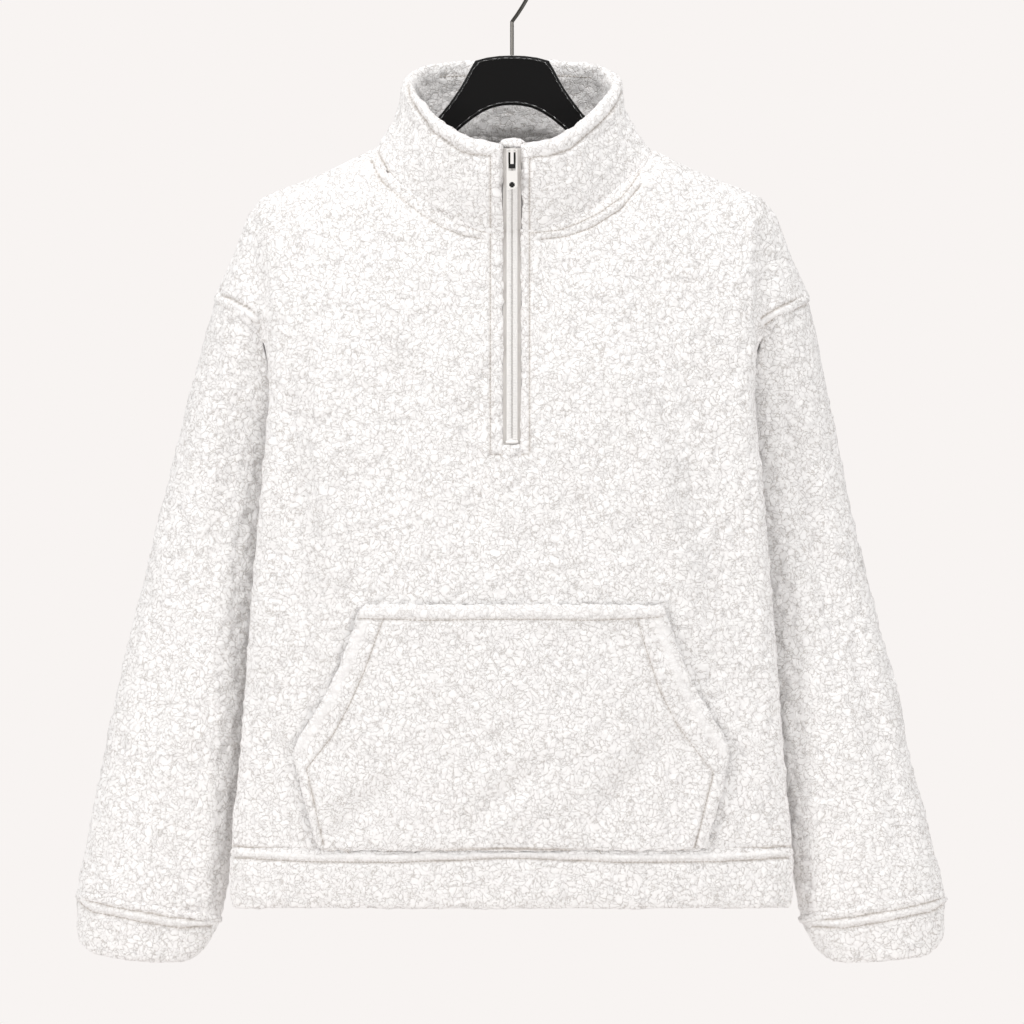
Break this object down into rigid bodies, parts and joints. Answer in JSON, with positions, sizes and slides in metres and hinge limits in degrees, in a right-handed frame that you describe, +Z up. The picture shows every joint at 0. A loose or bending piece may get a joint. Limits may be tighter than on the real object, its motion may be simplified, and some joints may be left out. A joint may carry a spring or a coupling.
{
  "type": "half-zip pullover on a hanger",
  "caption": "Sherpa fleece half-zip pullover with dropped shoulders, stand-up collar, hem band and kangaroo pocket, hung on a plain black hanger with a wire hook.",
  "frame": {"origin": "inside top of the hook's crook, on the centre line, where a rail or peg carries it", "axes": "+Z up, -Y the garment's front, +X to the right seen from the front"},
  "size_m": [0.825, 0.1448, 0.9671],
  "materials": {
    "fleece": "off-white sherpa pile, matt",
    "zip_tape": "woven polyester tape",
    "zip_coil": "closed coil, off-white",
    "zip_metal": "pale enamelled zinc",
    "hanger_plastic": "moulded black, satin",
    "hook_steel": "blackened steel wire"
  },
  "bodies": {
    "garment": {"front_panel": "fleece", "back_panel": "fleece", "sleeve_left": "fleece", "sleeve_right": "fleece", "collar": "fleece", "hem_band": "fleece", "cuff_left": "fleece", "cuff_right": "fleece", "kangaroo_pocket": "fleece", "zip_tape_left": "zip_tape", "zip_tape_right": "zip_tape", "zip_chain": "zip_coil", "zip_slider": "zip_metal", "hanger_body": "hanger_plastic", "hanger_hook": "hook_steel"},
    "pull": {"zip_pull": "zip_metal"}
  },
  "joints": [
    {"name": "pull_swing", "type": "hinge", "parent": "garment", "child": "pull", "pos_m": [0, -0.07148, -0.1919], "axis": [-1, 0, 0], "range_deg": [0, 165]}
  ]
}
